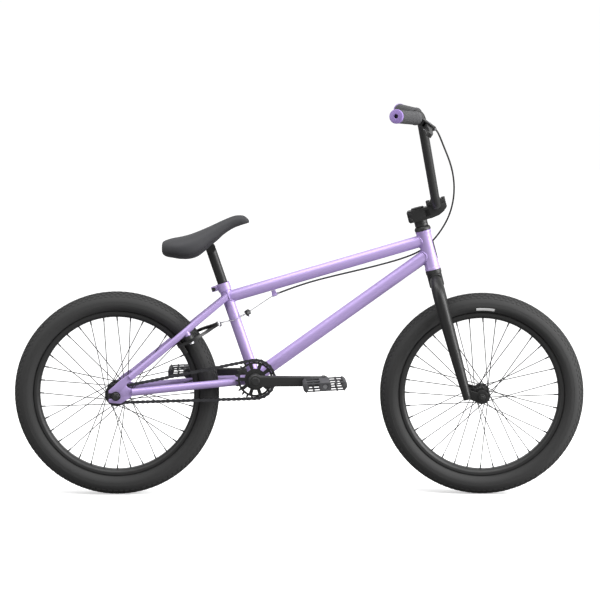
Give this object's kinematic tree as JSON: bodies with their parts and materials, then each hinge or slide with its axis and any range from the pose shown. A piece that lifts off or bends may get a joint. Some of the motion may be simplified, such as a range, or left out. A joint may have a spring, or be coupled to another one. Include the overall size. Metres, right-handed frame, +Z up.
{
  "type": "bmx bike",
  "caption": "Freestyle BMX bicycle with turning bars and fork, spinning wheels, cranks and pedals, working rear brake, adjustable seat post and tilting saddle.",
  "frame": {"origin": "on the ground midway between the two tyre contacts", "axes": "+X towards the front wheel, +Y to the rider's left, +Z up"},
  "size_m": [1.4387, 0.7256, 0.9925],
  "materials": {
    "lilac_paint": "metallic lilac gloss",
    "black_paint": "gloss black",
    "black_satin": "satin black",
    "tyre_rubber": "matte rubber",
    "grip_rubber": "matte rubber",
    "purple_plastic": "satin",
    "seat_cover": "fine grained",
    "steel": "bright",
    "chain_steel": "dark",
    "black_plastic": "moulded",
    "cable_housing": "satin"
  },
  "bodies": {
    "frame": {"head_tube": "lilac_paint", "top_tube": "lilac_paint", "down_tube": "lilac_paint", "seat_tube": "lilac_paint", "seat_clamp_bolt": "black_satin", "bb_shell": "lilac_paint", "dropout_right": "lilac_paint", "dropout_left": "lilac_paint", "seatstay_right": "lilac_paint", "seatstay_left": "lilac_paint", "chainstay_right": "lilac_paint", "chainstay_left": "lilac_paint", "rear_axle": "black_satin", "headset_lower": "black_satin", "brake_post_right": "lilac_paint", "brake_post_left": "lilac_paint", "cable_stop": "lilac_paint", "brake_housing": "cable_housing", "brake_cable": "steel", "straddle_wire": "steel", "chain": "chain_steel"},
    "fork": {"fork": "black_paint", "front_axle": "black_satin", "headset_top_cover": "black_satin", "stem": "black_satin", "stem_clamp_plate": "black_satin", "stem_top_cap": "black_satin", "handlebar": "black_satin", "grip_right": "grip_rubber", "grip_left": "grip_rubber", "bar_end_right": "purple_plastic", "bar_end_left": "purple_plastic", "lever_bracket": "black_satin"},
    "front_wheel": {"front_tyre": "tyre_rubber", "front_rim": "black_satin", "front_hub": "black_satin", "front_spokes_right": "chain_steel", "front_spokes_left": "chain_steel"},
    "rear_wheel": {"rear_tyre": "tyre_rubber", "rear_rim": "black_satin", "rear_hub": "black_satin", "rear_spokes_right": "chain_steel", "rear_spokes_left": "chain_steel"},
    "crank": {"spindle": "black_satin", "sprocket": "black_satin", "crank_arm_right": "black_satin", "crank_arm_left": "black_satin", "pedal_axle_right": "steel", "pedal_axle_left": "steel"},
    "driver": {"driver": "chain_steel"},
    "pedal_right": {"pedal_right": "black_plastic"},
    "pedal_left": {"pedal_left": "black_plastic"},
    "brake_lever": {"brake_lever": "black_satin"},
    "brake_arm_right": {"brake_arm_right": "black_satin"},
    "brake_arm_left": {"brake_arm_left": "black_satin"},
    "yoke": {"yoke": "black_satin"},
    "seat_post": {"seat_post": "black_satin"},
    "saddle": {"saddle": "seat_cover"}
  },
  "joints": [
    {"name": "steering", "type": "hinge", "parent": "frame", "child": "fork", "pos_m": [0.335, 0, 0.5735], "axis": [-0.2588, 0, 0.9659], "range_deg": [-80, 80], "deforming": ["brake_housing"]},
    {"name": "front_wheel_spin", "type": "hinge", "parent": "fork", "child": "front_wheel", "pos_m": [0.4618, -0.00393, 0.25797], "axis": [0.0926, 0.9954, 0.0248], "continuous": true},
    {"name": "rear_wheel_spin", "type": "hinge", "parent": "frame", "child": "rear_wheel", "pos_m": [-0.462, 0, 0.258], "axis": [0, 1, 0], "continuous": true},
    {"name": "crank_spin", "type": "hinge", "parent": "frame", "child": "crank", "pos_m": [-0.1134, 0, 0.299], "axis": [0, 1, 0], "continuous": true, "deforming": ["chain"]},
    {"name": "driver_spin", "type": "hinge", "parent": "frame", "child": "driver", "pos_m": [-0.462, 0, 0.258], "axis": [0, 1, 0], "continuous": true},
    {"name": "pedal_right_spin", "type": "hinge", "parent": "crank", "child": "pedal_right", "pos_m": [0.0566, -0.1365, 0.299], "axis": [0, 1, 0], "continuous": true},
    {"name": "pedal_left_spin", "type": "hinge", "parent": "crank", "child": "pedal_left", "pos_m": [-0.2834, 0.1365, 0.299], "axis": [0, 1, 0], "continuous": true},
    {"name": "brake_lever_pull", "type": "hinge", "parent": "fork", "child": "brake_lever", "pos_m": [0.29404, -0.22983, 0.93557], "axis": [-0.5242, 0.2031, -0.827], "range_deg": [0, 22], "stiffness_Nm_per_rad": 0.6, "springref_deg": -8.59, "deforming": ["brake_cable", "straddle_wire"]},
    {"name": "brake_arm_right_close", "type": "hinge", "parent": "frame", "child": "brake_arm_right", "pos_m": [-0.2773, -0.0435, 0.399], "axis": [0.454, 0, -0.891], "range_deg": [0, 4.2]},
    {"name": "brake_arm_left_close", "type": "hinge", "parent": "frame", "child": "brake_arm_left", "pos_m": [-0.2773, 0.0435, 0.399], "axis": [-0.454, 0, 0.891], "range_deg": [0, 4.2]},
    {"name": "yoke_slide", "type": "slide", "parent": "frame", "child": "yoke", "axis": [0.8277, 0, 0.5612], "range_m": [0, 0.0062]},
    {"name": "seat_post_height", "type": "slide", "parent": "frame", "child": "seat_post", "axis": [-0.3276, 0, 0.9448], "range_m": [-0.055, 0.06]},
    {"name": "saddle_tilt", "type": "hinge", "parent": "seat_post", "child": "saddle", "pos_m": [-0.22683, 0, 0.62614], "axis": [0, 1, 0], "range_deg": [-9, 9]}
  ],
  "couplings": [
    {"joint": "driver_spin", "follows": "crank_spin", "ratio": 2.6667},
    {"joint": "brake_arm_right_close", "follows": "brake_lever_pull", "ratio": 0.19},
    {"joint": "brake_arm_left_close", "follows": "brake_lever_pull", "ratio": 0.19},
    {"joint": "yoke_slide", "follows": "brake_lever_pull", "m_per_rad": 0.0158}
  ]
}
